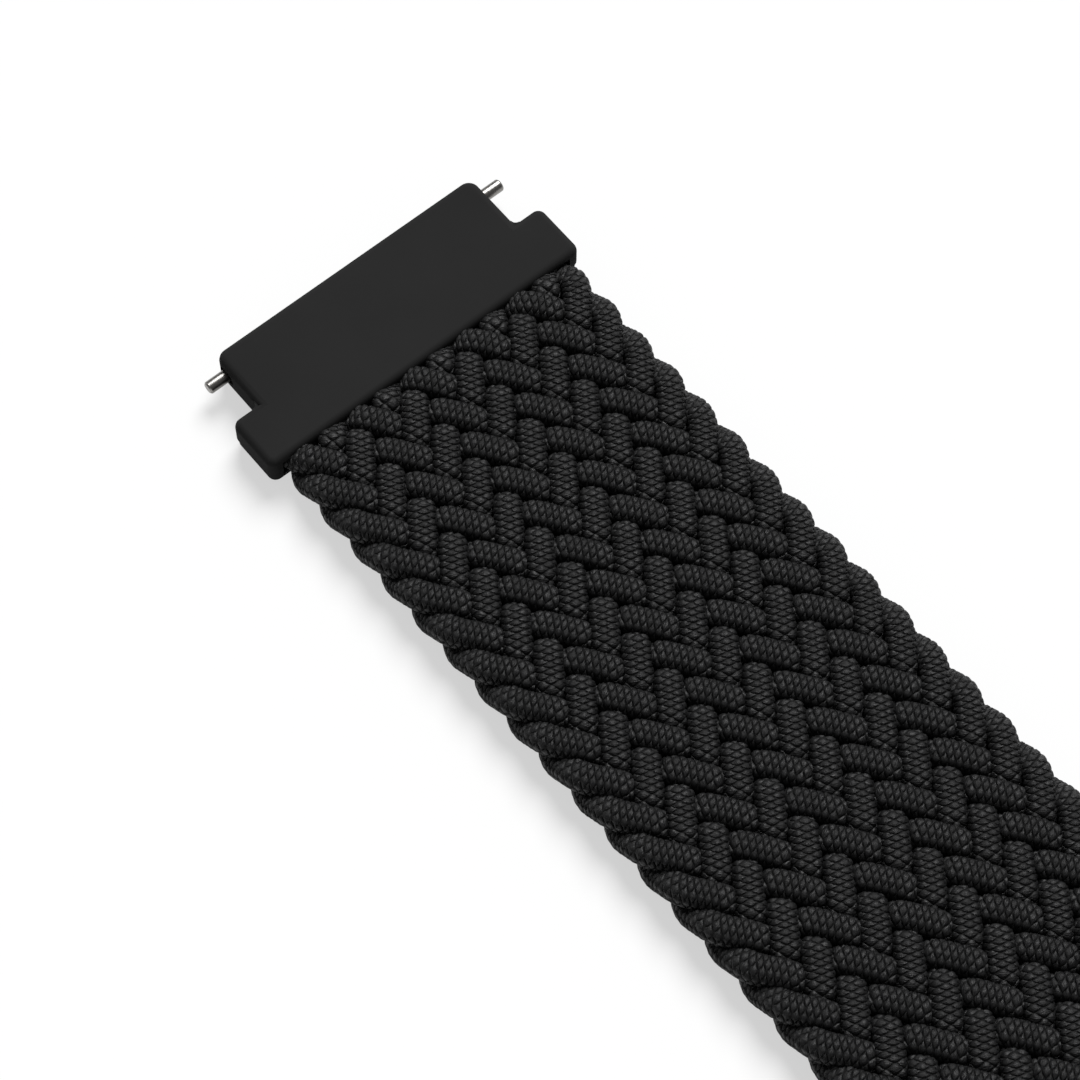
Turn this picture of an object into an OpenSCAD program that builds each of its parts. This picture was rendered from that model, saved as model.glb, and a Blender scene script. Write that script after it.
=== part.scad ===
// Braided stretch watch strap: one flat 2-over-2-under braid of elastic cords, with a
// quick-release connector at each end. It lies flat: X runs along the strap, Y across it
// and Z up. The origin is on the floor, under the middle of the strap.

/* [Watch fit] */
// Gap between the watch's lugs
lug_w = 22; // [18:0.5:26]
// Side play between the tongue and each lug
lug_play = 0.2; // [0.1:0.05:0.3]

/* [Connector] */
// Thickness of the connector
connector_t = 2.65; // [2.5:0.05:3.1]
// Length of the tongue that goes between the lugs
tongue_l = 4.7; // [4.2:0.1:6]
// Length of the wide shoulder behind the tongue
shoulder_l = 4.3; // [4:0.1:6]
// How far the shoulder stands out past the braid's edge on each side
shoulder_margin = 0.65; // [0.3:0.05:1.2]
// Corner radius of the nose, seen from above
nose_corner_r = 0.8; // [0.6:0.1:1.6]
// Corner radius of the shoulder, seen from above
shoulder_corner_r = 0.6; // [0.5:0.05:1.2]
// Radius of the inner corner between tongue and shoulder
inner_corner_r = 0.4; // [0.2:0.05:0.8]
// Rounding of the upper edges
top_edge_r = 0.5; // [0.2:0.05:0.5]
// Rounding of the lower edges
bottom_edge_r = 0.25; // [0.1:0.05:0.4]
// Rounding under the nose, which clears the watch case
nose_under_r = 1; // [0.5:0.1:1.1]
// Height of the lower cover, up to the parting line
cover_t = 0.85; // [0.8:0.05:1]
// Step between the shell and the slightly smaller cover at the parting line
parting_step = 0.08; // [0.02:0.01:0.1]

/* [Slot for the braid] */
// Height of the slot
slot_h = 1.6; // [1.2:0.05:1.6]
// Depth of the slot
slot_depth = 3.2; // [2.6:0.1:3.4]
// Side wall of the slot
slot_side_wall = 0.9; // [0.5:0.05:1]
// Diameter of the pegs that hold the braid's end
anchor_peg_d = 1; // [0.6:0.1:1.2]
// Number of those pegs
anchor_pegs = 4; // [2:1:6]
// Distance from the slot's closed end to the pegs' middle
anchor_peg_inset = 1; // [0.8:0.1:1.2]

/* [Quick-release bar] */
// Distance of the bar's axis behind the nose
bar_setback = 1.15; // [1.1:0.05:1.6]
// Outer diameter of the bar's tube
tube_d = 1.45; // [1.3:0.05:1.5]
// Wall of the tube
tube_wall = 0.15; // [0.1:0.05:0.2]
// How far each tube end lies inside the tongue's side
tube_recess = 0.6; // [0.3:0.1:1]
// Diameter of both pin tips
tip_d = 0.9; // [0.7:0.05:0.95]
// How far the fixed tip stands out of the tongue
fixed_tip_reach = 1.5; // [1:0.1:2]
// How far the sliding tip stands out of the tongue
sliding_tip_reach = 1.65; // [1:0.05:2]
// Travel of the sliding tip
tip_travel = 1.7; // [1.2:0.1:2]
// Length of the tip's guided part inside the tube
plunger_l = 4.9; // [4:0.1:6]
// Distance from the tube's end to the release lever
lever_inset = 3; // [2.4:0.1:3.2]
// Diameter of the lever's post
lever_post_d = 0.5; // [0.4:0.05:0.6]
// Diameter of the lever's button
lever_button_d = 1.1; // [0.9:0.1:1.2]

/* [Return spring] */
// Length of the spring in the tube
spring_l = 8.4; // [7:0.1:10]
// Turns of the spring
spring_turns = 14; // [8:1:15]
// Diameter of the spring's wire
spring_wire_d = 0.16; // [0.1:0.01:0.18]
// Play between the spring and the tube's inside
spring_play = 0.07; // [0.04:0.01:0.1]

/* [Braid] */
// Length of braid that shows between the two connectors
visible_l = 119.5; // [80:0.5:160]
// How far the braid's rounded edges stand out past the tongue on each side
braid_overhang = 1.5; // [0.8:0.05:2.4]
// Thickness of the braid
braid_t = 3.35; // [2.9:0.05:3.8]
// Number of cords in the braid
strand_count = 21; // [17:4:25]
// Length that one cord's edge loop takes along the strap
pitch = 3.2; // [2.9:0.05:3.8]
// Depth of the gaps between the cords
gap_depth = 0.75; // [0.3:0.05:0.9]
// Depth of the notches between the edge loops
notch_depth = 0.42; // [0.2:0.02:0.6]
// Distance from the connector to the first crossing outside it
lead_in = 0.4; // [0.4:0.02:1]
// Length over which the braid swells to its full thickness
swell_l = 1.9; // [1.6:0.1:4]

/* [Hidden] */

// Clearances
bore_play = 0.025;    // tube in its bore, on the radius
plunger_play = 0.025; // sliding tip in the tube, on the radius
lip_play = 0.03;      // tip in the tube's rolled lip, on the radius
press_play = 0.01;    // pressed pieces, on the radius
peg_play = 0.03;      // pegs in their sockets, on the radius
squeeze = 0.15;       // how much flatter than the slot the braid's last crossings are
end_play = 0.02;      // between pieces that meet end to end in the tube
button_play = 0.25;   // around the lever's button in its window

// Faces and axes of one connector, whose mouth lies at x = 0 with the nose towards -X
z_mid = braid_t / 2;
z_low = z_mid - connector_t / 2;
z_top = z_mid + connector_t / 2;
z_part = z_low + cover_t;
tongue_w = lug_w - 2 * lug_play;
braid_w = tongue_w + 2 * braid_overhang;
shoulder_w = braid_w + 2 * shoulder_margin;
x_step = -shoulder_l;
x_nose = x_step - tongue_l;
x_bar = x_nose + bar_setback;
slot_w = shoulder_w - 2 * slot_side_wall;
slot_floor = z_mid - slot_h / 2;
slot_roof = z_mid + slot_h / 2;

// Quick-release bar
bore_d = tube_d + 2 * bore_play;
tube_inner_d = tube_d - 2 * tube_wall;
tube_end = tongue_w / 2 - tube_recess;
lip_t = 0.25;
plunger_d = tube_inner_d - 2 * plunger_play;
plunger_end = tube_end - lip_t - end_play;
plunger_start = plunger_end - plunger_l;
y_lever = tube_end - lever_inset;
spring_start = plunger_start - end_play - spring_l;
button_t = 0.35;
button_gap = 0.15;
z_button = z_mid - tube_d / 2 - button_gap - button_t;
tip_round_r = 0.18;
tip_chamfer = 0.1;
neck_taper = 0.05; // how much thinner, on the radius, both tips are inside the tongue

// Pegs that fix the cover to the shell, in the solid part between bar and slot
cover_peg_d = 1;
cover_peg_l = 1;
x_cover_peg = (x_bar + bore_d / 2 - slot_depth) / 2;
y_cover_peg = tongue_w / 2 - 3.6;
socket_depth = 0.3;

// Braid lattice: crossings lie half a pitch apart along X and one row apart along Y
rows = strand_count - 1;
edge_rows = 1.33; // from the last crossing to the outside of an edge loop, in rows
row_s = braid_w / (rows - 1 + 2 * edge_rows);
loops = floor((visible_l - 2 * lead_in) / pitch + 0.5);
half_pitch = (visible_l - 2 * lead_in) / (2 * loops);
inside = half_pitch - lead_in;
u_last = 2 * loops + 1;
edge_crest = 0.62; // height of the cord where it turns at the edge, as a share of the crest
edge_gap = 0.25;   // and of the gap beside it

facets = 64;
corner_facets = 32;
eps = 0.05;
far = 60;

function arc(x, y, r, from, to, n) =
    [for (i = [0:n]) let (a = from + (to - from) * i / n) [x + r * cos(a), y + r * sin(a)]];

function smooth(t) = let (c = max(0, min(1, t))) c * c * (3 - 2 * c);

// Rounded post whose four copies span a block with soft edges
module corner_post(r, z0, z1, low_r, high_r) {
    rotate_extrude($fn = corner_facets)
        polygon(concat(
            [[0, z0]],
            arc(r - low_r, z0 + low_r, low_r, -90, 0, 3),
            arc(r - high_r, z1 - high_r, high_r, 0, 90, 4),
            [[0, z1]]
        ));
}

// Block from x0 to x1 with one corner radius at each end
module soft_block(x0, x1, w, r0, r1) {
    hull()
        for (side = [-1, 1]) {
            translate([x0 + r0, side * (w / 2 - r0), 0])
                corner_post(r0, z_low, z_top, bottom_edge_r, top_edge_r);
            translate([x1 - r1, side * (w / 2 - r1), 0])
                corner_post(r1, z_low, z_top, bottom_edge_r, top_edge_r);
        }
}

// Fillet in the corner between tongue and shoulder
module inner_fillet(side, inset) {
    r = inner_corner_r;
    x = x_step + inset;
    y = tongue_w / 2 - inset;
    mirror([0, side < 0 ? 1 : 0, 0])
        translate([0, 0, z_low + bottom_edge_r])
            linear_extrude(connector_t - bottom_edge_r - top_edge_r * 0.6)
                polygon(concat(
                    [[x - r, y - eps], [x + eps, y - eps], [x + eps, y + r]],
                    arc(x - r, y + r, r, 0, -90, 6)
                ));
}

// Outside of a connector, drawn in all round by inset
module connector_outside(inset = 0) {
    tongue_back = x_step + 2 * shoulder_corner_r;
    difference() {
        union() {
            soft_block(x_nose + inset, tongue_back, tongue_w - 2 * inset, nose_corner_r, shoulder_corner_r);
            soft_block(x_step + inset, -inset, shoulder_w - 2 * inset, shoulder_corner_r, shoulder_corner_r);
            for (side = [-1, 1]) inner_fillet(side, inset);
        }
        nose_relief(inset);
    }
}

// What the rounding under the nose takes away
module nose_relief(inset) {
    r = nose_under_r;
    rotate([90, 0, 0])
        linear_extrude(far, center = true)
            polygon(concat(
                [[x_nose - 1, z_low - 1], [x_nose + inset + r, z_low - 1]],
                arc(x_nose + inset + r, z_low + r, r, -90, -180, 10),
                [[x_nose - 1, z_low + r]]
            ));
}

module bar_bore() {
    translate([x_bar, 0, z_mid]) rotate([90, 0, 0]) cylinder(h = far, d = bore_d, center = true, $fn = facets);
}

module braid_slot() {
    translate([-slot_depth, -slot_w / 2, slot_floor]) cube([slot_depth + 1, slot_w, slot_h]);
}

module at_anchor_pegs() {
    spread = slot_w * (anchor_pegs - 1) / anchor_pegs;
    for (i = [0:anchor_pegs - 1])
        translate([-slot_depth + anchor_peg_inset, -spread / 2 + i * spread / (anchor_pegs - 1), 0]) children();
}

module at_cover_pegs() {
    for (side = [-1, 1]) translate([x_cover_peg, side * y_cover_peg, 0]) children();
}

module above_parting() {
    translate([-far / 2, -far / 2, z_part]) cube([far, far, connector_t]);
}

module below_parting() {
    translate([-far / 2, -far / 2, z_part - connector_t]) cube([far, far, connector_t]);
}

// Opening under the bar through which a fingernail reaches the lever
module lever_window() {
    half_x = lever_button_d / 2 + button_play;
    y0 = y_lever - tip_travel - lever_button_d / 2 - 2 * button_play;
    y1 = y_lever + lever_button_d / 2 + button_play;
    translate([x_bar, 0, z_low - 1])
        linear_extrude(connector_t)
            polygon([[-half_x, y0], [half_x + 0.2, y0], [half_x + 0.2, y1], [-half_x, y1]]);
}

// Moulded upper half, with the pegs that go down through the braid's end
module upper_shell() {
    color("#2c2c2e") {
        difference() {
            intersection() {
                connector_outside();
                above_parting();
            }
            bar_bore();
            braid_slot();
            at_cover_pegs()
                translate([0, 0, z_part - 1])
                    cylinder(h = cover_peg_l + 1 + peg_play, d = cover_peg_d + 2 * peg_play, $fn = facets);
        }
        at_anchor_pegs()
            translate([0, 0, slot_floor - socket_depth + peg_play])
                cylinder(h = slot_h + socket_depth - peg_play + eps, d = anchor_peg_d, $fn = facets);
    }
}

// Moulded lower half, which closes the bar's bore and the slot from below
module lower_cover() {
    color("#262628") {
        difference() {
            intersection() {
                connector_outside(parting_step);
                below_parting();
            }
            bar_bore();
            braid_slot();
            lever_window();
            at_anchor_pegs()
                translate([0, 0, slot_floor - socket_depth])
                    cylinder(h = 1, d = anchor_peg_d + 2 * peg_play, $fn = facets);
        }
        at_cover_pegs()
            translate([0, 0, z_part - 0.3])
                cylinder(h = cover_peg_l + 0.3, d = cover_peg_d, $fn = facets);
    }
}

// Fused and flattened end of the cords, pinned in the slot
module braid_end() {
    color("#1b1b1d")
        difference() {
            translate([-slot_depth, -slot_w / 2 + squeeze, slot_floor])
                cube([slot_depth - inside, slot_w - 2 * squeeze, slot_h]);
            at_anchor_pegs()
                cylinder(h = far, d = anchor_peg_d + 2 * peg_play, center = true, $fn = facets);
        }
}

// Puts a piece that is drawn along +Z on the bar's axis, with +Z towards +Y
module on_bar(y = 0) {
    translate([x_bar, y, z_mid]) rotate([-90, 0, 0]) children();
}

// Steel tube with a rolled lip at the sliding tip's end and a slot for the lever
module bar_tube() {
    slot_w_tube = lever_post_d + 0.15;
    y0 = y_lever - tip_travel - lever_post_d / 2 - 0.15;
    y1 = y_lever + lever_post_d / 2 + 0.1;
    color("#b9bcc0")
        difference() {
            on_bar(-tube_end) cylinder(h = 2 * tube_end, d = tube_d, $fn = facets);
            on_bar(-tube_end - 1) cylinder(h = 2 * tube_end + 1 - lip_t, d = tube_inner_d, $fn = facets);
            on_bar(0) cylinder(h = far, d = tip_d + 2 * lip_play, $fn = facets);
            translate([x_bar - slot_w_tube / 2, y0, z_mid - tube_d])
                cube([slot_w_tube, y1 - y0, tube_d]);
        }
}

// Pin pressed into the tube, with a flat chamfered end
module fixed_tip() {
    shank_end = spring_start - end_play;
    color("#cfd1d4")
        on_bar(0)
            rotate_extrude($fn = facets)
                polygon([
                    [0, -tongue_w / 2 - fixed_tip_reach],
                    [tip_d / 2 - tip_chamfer, -tongue_w / 2 - fixed_tip_reach],
                    [tip_d / 2, -tongue_w / 2 - fixed_tip_reach + tip_chamfer],
                    [tip_d / 2, -tongue_w / 2],
                    [tip_d / 2 - neck_taper, -tube_end],
                    [tube_inner_d / 2 - press_play, -tube_end],
                    [tube_inner_d / 2 - press_play, shank_end],
                    [0, shank_end]
                ]);
}

// Spring-loaded pin with a rounded end, guided in the tube, with a cross hole for the lever
module sliding_tip() {
    y_end = tongue_w / 2 + sliding_tip_reach;
    color("#cfd1d4")
        difference() {
            on_bar(0)
                rotate_extrude($fn = facets)
                    polygon(concat(
                        [[0, plunger_start], [plunger_d / 2, plunger_start], [plunger_d / 2, plunger_end],
                         [tip_d / 2 - neck_taper, plunger_end], [tip_d / 2, tongue_w / 2]],
                        arc(tip_d / 2 - tip_round_r, y_end - tip_round_r, tip_round_r, 0, 90, 5),
                        [[0, y_end]]
                    ));
            translate([x_bar, y_lever, z_mid - tube_d])
                cylinder(h = tube_d + plunger_d / 4, d = lever_post_d + 2 * press_play, $fn = facets);
        }
}

// Stud with a button, pressed into the sliding tip's cross hole
module release_lever() {
    color("#c4c6ca")
        translate([x_bar, y_lever, z_button])
            rotate_extrude($fn = facets)
                polygon([
                    [0, 0],
                    [lever_button_d / 2 - 0.08, 0],
                    [lever_button_d / 2, 0.08],
                    [lever_button_d / 2, button_t],
                    [lever_post_d / 2, button_t],
                    [lever_post_d / 2, z_mid + plunger_d / 4 - press_play - z_button],
                    [0, z_mid + plunger_d / 4 - press_play - z_button]
                ]);
}

spring_mean_r = (tube_inner_d - spring_wire_d) / 2 - spring_play;
spring_rings = spring_turns * 8;
spring_rise = spring_l - spring_wire_d;

// Point of the spring's wire centre line, counted in rings
function spring_centre(i) =
    let (a = 360 * i / 8)
    [spring_mean_r * cos(a), spring_mean_r * sin(a), spring_wire_d / 2 + spring_rise * i / spring_rings];

// Six-sided ring round that point, square to the wire
function spring_ring(i) =
    let (
        a = 360 * i / 8,
        out = [cos(a), sin(a), 0],
        slope = atan2(spring_rise / spring_turns, 2 * PI * spring_mean_r),
        up = [-sin(a) * -sin(slope), cos(a) * -sin(slope), cos(slope)]
    )
    [for (k = [0:5]) spring_centre(i) + spring_wire_d / 2 * (cos(60 * k) * out + sin(60 * k) * up)];

// Wire wound in one unbroken helix
module return_spring() {
    points = [for (i = [0:spring_rings]) each spring_ring(i)];
    last = 6 * spring_rings;
    faces = concat(
        [for (i = [0:spring_rings - 1], k = [0:5])
            let (a = 6 * i + k, b = 6 * i + (k + 1) % 6) each [[a, b + 6, b], [a, a + 6, b + 6]]],
        [[0, 1, 2], [0, 2, 3], [0, 3, 4], [0, 4, 5]],
        [[last, last + 2, last + 1], [last, last + 3, last + 2], [last, last + 4, last + 3],
         [last, last + 5, last + 4]]
    );
    color("#a9acb0") on_bar(spring_start) polyhedron(points, faces, convexity = 4);
}

// Least gap between neighbouring turns, measured between points of the wire's centre line
spring_gap = min([for (i = [0:7], j = [6:10]) norm(spring_centre(i) - spring_centre(i + j)) - spring_wire_d]);
echo(spring_gap = spring_gap);

// Place along X of lattice column u, and how deep it lies behind the nearer connector's mouth
function column_x(u) = -visible_l / 2 + lead_in + u * half_pitch;
function from_mouth(u) = visible_l / 2 - abs(column_x(u));

// Half the braid's thickness at a column: it is squeezed in the slot and swells outside it
function half_t(u) =
    let (d = from_mouth(u), in_slot = slot_h / 2 - squeeze)
    d < 0 ? in_slot
    : min(braid_t / 2, max(slot_h / 2 + squeeze * 0.8 * d / inside * (d < half_pitch ? 1 : 0),
                           in_slot + (braid_t / 2 - in_slot) * (d < half_pitch ? 0 : smooth(d / swell_l))));

// Half the braid's width at a column
function half_w(u) =
    let (d = from_mouth(u))
    d < 0 ? min(braid_w / 2, slot_w / 2 - squeeze - 0.1)
    : d < half_pitch ? min(braid_w / 2, slot_w / 2 + squeeze * 0.8 * d / inside)
    : braid_w / 2;

// Lattice point of column u and row k, where k = 0 and k = rows + 3 are the outer edges, k = 1 and
// k = rows + 2 are the loops' crests, and the crossings' rows lie between. face is 1 or -1.
function crest(u, k) = (u + max(1, min(rows + 2, k))) % 2 == 0;
function lattice_y(u, k) =
    let (m = k - 2)
    k == 0 ? -braid_w / 2 + (crest(u, k) ? 0 : notch_depth)
    : k == rows + 3 ? braid_w / 2 - (crest(u, k) ? 0 : notch_depth)
    : (m - (rows - 1) / 2) * row_s;
function lattice_z(u, k) =
    k == 0 || k == rows + 3 ? 0
    : k == 1 || k == rows + 2 ? (crest(u, k) ? edge_crest : edge_gap)
    : crest(u, k) ? 1 : 1 - 2 * gap_depth / braid_t;
function lattice(u, k, face) = [
    column_x(u),
    lattice_y(u, k) * 2 * half_w(u) / braid_w,
    z_mid + face * lattice_z(u, k) * half_t(u)
];

// Whether the cell between rows k and k + 1 is folded along the rising diagonal. The fold follows
// the ridge of a cord where one cord spans the cell, and the gap between two cords elsewhere.
function rising_fold(u, k, face) =
    let (m = k - 2, row = ((face > 0 ? m : m + 2) % 4 + 4) % 4)
    k == 0 ? u % 2 == 0
    : k == rows + 2 ? u % 2 != 0
    : k == 1 ? face > 0
    : k == rows + 1 ? face < 0
    : row == 0 ? true
    : row == 2 ? false
    : (u + m) % 2 != 0;

// The braid: both faces show every cord where it passes over two others, and every edge loop
module braided_band() {
    top_n = rows + 4;
    column_n = 2 * top_n - 2;
    cols = [for (u = [-1:u_last]) u];
    points = [for (u = cols) each concat(
        [for (k = [0:top_n - 1]) lattice(u, k, 1)],
        [for (k = [1:top_n - 2]) lattice(u, k, -1)]
    )];
    function at(c, k, face) = c * column_n + (face > 0 || k == 0 || k == top_n - 1 ? k : top_n - 1 + k);
    skin = [for (c = [0:len(cols) - 2], k = [0:top_n - 2], face = [1, -1])
        let (
            a = at(c, k, face), b = at(c + 1, k, face),
            e = at(c + 1, k + 1, face), d = at(c, k + 1, face),
            fold = rising_fold(cols[c], k, face)
        )
        each fold ? (face > 0 ? [[a, d, e], [a, e, b]] : [[a, e, d], [a, b, e]])
                  : (face > 0 ? [[a, d, b], [b, d, e]] : [[a, b, d], [b, e, d]])];
    caps = [for (c = [0, len(cols) - 1], k = [0:top_n - 2])
        let (
            low = at(c, k, -1), low_next = at(c, k + 1, -1),
            high = at(c, k, 1), high_next = at(c, k + 1, 1),
            flip = c > 0
        )
        each concat(
            k == top_n - 2 ? [] : [flip ? [low, high_next, low_next] : [low, low_next, high_next]],
            k == 0 ? [] : [flip ? [low, high, high_next] : [low, high_next, high]]
        )];
    color("#1d1d1f") polyhedron(points, concat(skin, caps), convexity = 6);
}

// Connector a is the photographed end, at -X, and connector b is the same one turned round
module end_a() {
    translate([-visible_l / 2, 0, 0]) children();
}
module end_b() {
    rotate([0, 0, 180]) translate([-visible_l / 2, 0, 0]) children();
}

braided_band();

end_a() upper_shell();  // upper_shell_a
end_a() lower_cover();  // lower_cover_a
end_a() braid_end();  // braid_end_a
end_a() bar_tube();  // bar_tube_a
end_a() fixed_tip();  // fixed_tip_a
end_a() sliding_tip();  // sliding_tip_a
end_a() release_lever();  // release_lever_a
end_a() return_spring();  // return_spring_a

end_b() upper_shell();  // upper_shell_b
end_b() lower_cover();  // lower_cover_b
end_b() braid_end();  // braid_end_b
end_b() bar_tube();  // bar_tube_b
end_b() fixed_tip();  // fixed_tip_b
end_b() sliding_tip();  // sliding_tip_b
end_b() release_lever();  // release_lever_b
end_b() return_spring();  // return_spring_b
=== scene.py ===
"""Braided stretch watch strap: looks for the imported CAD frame, in metres and in the CAD's own place."""

import math

import bmesh
import bpy
import numpy as np
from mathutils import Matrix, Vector


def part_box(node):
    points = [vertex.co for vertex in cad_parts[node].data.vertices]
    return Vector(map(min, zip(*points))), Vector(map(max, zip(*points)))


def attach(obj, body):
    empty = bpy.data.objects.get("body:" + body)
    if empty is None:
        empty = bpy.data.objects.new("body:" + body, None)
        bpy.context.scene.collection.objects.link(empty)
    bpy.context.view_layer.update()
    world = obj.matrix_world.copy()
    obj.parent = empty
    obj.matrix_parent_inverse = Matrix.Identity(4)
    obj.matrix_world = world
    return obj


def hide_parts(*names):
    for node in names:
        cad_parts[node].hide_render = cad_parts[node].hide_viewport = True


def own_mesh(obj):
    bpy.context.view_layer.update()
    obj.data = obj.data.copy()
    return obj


bl_info = {
    "name": "Braided watch strap",
    "version": (1, 0, 0),
    "blender": (4, 5, 0),
    "location": "View3D > Sidebar > Strap",
    "description": "Dresses a braided watch strap with quick-release connectors",
    "category": "Object",
}

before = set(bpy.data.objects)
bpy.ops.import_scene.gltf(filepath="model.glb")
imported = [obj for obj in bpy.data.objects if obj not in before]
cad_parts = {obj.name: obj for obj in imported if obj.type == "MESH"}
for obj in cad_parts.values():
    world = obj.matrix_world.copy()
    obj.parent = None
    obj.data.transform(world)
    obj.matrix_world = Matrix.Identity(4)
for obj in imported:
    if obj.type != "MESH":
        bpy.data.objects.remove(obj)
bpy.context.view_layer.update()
MM = 0.001

# Which way each connector points, as the sign of its side of the origin
ENDS = {"a": -1, "b": 1}
BRAID_LOW, BRAID_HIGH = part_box("braided_band")

# Names of the two nodes that most of the patterns and shapes are worked out with
MATH = "ShaderNodeMath"
VECTOR_MATH = "ShaderNodeVectorMath"

# How far apart the nodes of a tree are drawn in the node editor, and how many lie in one row
NODE_SPACE = (180, 220)
NODES_IN_ROW = 8

# The sheath's pattern of stitches, in columns across the cord and stitches along it
LENS_SIDE = 0.25  # half the length of a stitch at its column's border
LENS_MIDDLE = 0.25  # what the middle of the column adds to that
DOME_ALONG = 3.5  # power by which a stitch's dome falls off towards its two tips
DOME_ACROSS = 3.0  # power by which it falls off towards the columns beside it
# lower on a stitch's dome its colour is darkened towards the gap colour, as painted shade between the
# stitches
SHADE_FREE_HEIGHT = 0.5  # height of the dome from which the thread's own colour shows
FILAMENTS = (2.5, 9.0)  # how fine the filaments are in one column and in one stitch
FILAMENT_SHADE = 0.4  # share of the filaments in a stitch's shade
FILAMENT_BUMP = 0.35  # their height against that of the dome
BUMP_DEPTH = 1.5  # depth of the material's bump against the relief of the mesh

# The mesh of a sheath
LINES_IN_COLUMN = 3
RINGS_IN_STITCH = 4
NUDGE = 0.01  # added before a column's number is rounded down, so that its first line counts as its own
BORDER = 0.1  # a line less than this after the start of its column lies on the border
SEAM_GAP = 2e-6  # points of the seam that lie closer than this are joined, in metres

# Heights of the sheath's lines in shares of its relief: on the two lines inside a column at the middle of a
# stitch, half-way to its tip and at its sunk tip, and on the column's border at a stitch's side and in a gap
STITCH_MIDDLE, STITCH_SLOPE, STITCH_TIP = 0.5, 0.39, -0.08
STITCH_SIDE, STITCH_GAP = 0.375, -0.5

# A cord's way through the braid, in steps from one crossing to the next
PATH_POINTS = 12  # points of the cord's middle line in each step
TURN_ROUND = 0.7  # how round the cord turns at an edge
TURN_EASE = 1.6  # steps before and after a turn in which the cord changes from back to front
SLACK = 0.14  # how much further out a loop's first and last crossing lie, in rows
SLACK_REACH = 0.6  # steps from those crossings over which the slack goes
LOOP_REACH = 0.5  # steps from a turn before the neighbours begin to press on the cord
LOOP_FADE = 1.5  # steps over which their pressure sets in
FLAT_TOP = 0.36  # how sharply a cord changes sides: a small value keeps it at its crest longer

# What the neighbours' pressure and the connector's slot do to a cord, as shares of its free size
PRESSED_BAND = 0.6  # share of the swing in which a cord is pressed on its way to the other side
PRESSED_THIN = 0.22  # what a pressed cord loses in thickness
PRESSED_NARROW = 0.1  # what it loses in width
SLOT_THIN = 0.65  # thickness of a cord in the slot
SLOT_BROAD = 0.06  # what it gains in width there
SLOT_NARROW = 0.022  # what the whole braid loses in width there
SWELL_START = 0.4 * MM  # how far inside the mouth the braid begins to swell
NARROW_REACH = 1.6 * MM  # how far outside the mouth it comes to its full width
ROLL = 0.25  # how far the sheath rolls each way, in columns of stitches
ROLL_LENGTH = 11 * MM  # length along the strap in which the roll goes on by one radian
ROLL_SHIFT = 2.4  # radians by which one cord's roll is ahead of its neighbour's

# The return spring: points of its line in one turn, and sides of its wire
TURN_POINTS = 32
WIRE_SIDES = 12

# Copies of CAD nodes: points this close are one, shorter edges than this go (both in metres), and an edge
# between faces at less than this angle is smooth
SAME_POINT = 1e-7
NO_LENGTH = 1e-8
CREASE = math.radians(38)

# Half the floor's side in metres
FLOOR_REACH = 3.0
# The point on the floor that the camera looks at, the width of its sensor in millimetres, and the nearest
# and the furthest that it sees in metres
CAMERA_TARGET = (-45.872 * MM, -1.916 * MM, 0)
SENSOR_WIDTH = 36
CLIP_START, CLIP_END = 0.01, 20
# Strengths of the world and of the lamp
WORLD_LIGHT = 0.15
KEY_LIGHT = 3.65
# Direction that the lamp's light comes from, metres to the lamp for each unit of it, and spread in degrees
KEY_FROM = (-0.6, 0.85, 1.3)
KEY_DISTANCE = 0.3
KEY_SPREAD = 36


def linear(code):
    """Linear colour of an sRGB hex value, with full alpha."""
    values = [int(code[i : i + 2], 16) / 255 for i in (1, 3, 5)]
    return tuple(v / 12.92 if v <= 0.04045 else ((v + 0.055) / 1.055) ** 2.4 for v in values) + (1.0,)


def size_prop(name, default, about):
    """A length in metres that a user can change."""
    return bpy.props.FloatProperty(
        name=name, description=about, default=default, min=0, max=1, unit="LENGTH", precision=5
    )


def colour_prop(name, code, about):
    """A colour that a user can change, from its sRGB hex value."""
    return bpy.props.FloatVectorProperty(
        name=name, description=about, default=linear(code)[:3], min=0, max=1, size=3, subtype="COLOR"
    )


class StrapBraidSettings(bpy.types.PropertyGroup):
    """Sizes and colours of the braid and its cords."""

    cord_count: bpy.props.IntProperty(
        name="Cords",
        description="Number of cords in the braid, one more than its rows",
        default=21,
        min=5,
        max=41,
    )
    visible_length: size_prop("Visible length", 119.5 * MM, "Braid that shows between the two connectors")
    width: size_prop("Width", 24.6 * MM, "Width over the rounded edges of the braid")
    pitch: size_prop("Pitch", 3.2 * MM, "Length that one edge loop takes along the strap")
    lead_in: size_prop("Lead-in", 0.55 * MM, "From the connector's mouth to the first crossing outside it")
    edge_rows: bpy.props.FloatProperty(
        name="Edge rows", description="From the last crossing to the outside of an edge loop", default=1.33
    )
    cord_width: size_prop("Cord width", 1.9 * MM, "Width of one cord where it lies between its neighbours")
    cord_thickness: size_prop("Cord thickness", 1.68 * MM, "Thickness of one cord, square to the strap")
    squareness: bpy.props.FloatProperty(
        name="Squareness",
        description="How square the cords are pressed: 0 is an oval and 0.25 nearly a box",
        default=0.11,
    )
    crest: size_prop("Crest", 0.77 * MM, "How far a cord's middle swings above and below the braid's middle")
    slot_thickness: size_prop("Squeezed thickness", 1.5 * MM, "Thickness of the braid in a connector's slot")
    swell: size_prop("Swell", 1.6 * MM, "Length over which the braid swells outside the connector")
    sheath_columns: bpy.props.IntProperty(
        name="Sheath columns",
        description="Columns of stitches round one cord, an even number",
        default=10,
        min=6,
        max=16,
    )
    stitch: size_prop("Stitch", 0.45 * MM, "Length of one stitch of the sheath along the cord")
    relief: size_prop("Stitch relief", 0.12 * MM, "How far the stitches stand out of the cord")
    colour: colour_prop("Cord colour", "#131314", "Colour of the sheath's threads")
    # The gap colour is painted shade: the threads' colour darkens into it low on the stitches' domes, where
    # shade falls between them
    painted_gap_shade: colour_prop("Gap colour", "#010101", "Colour deep between the threads")


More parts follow.
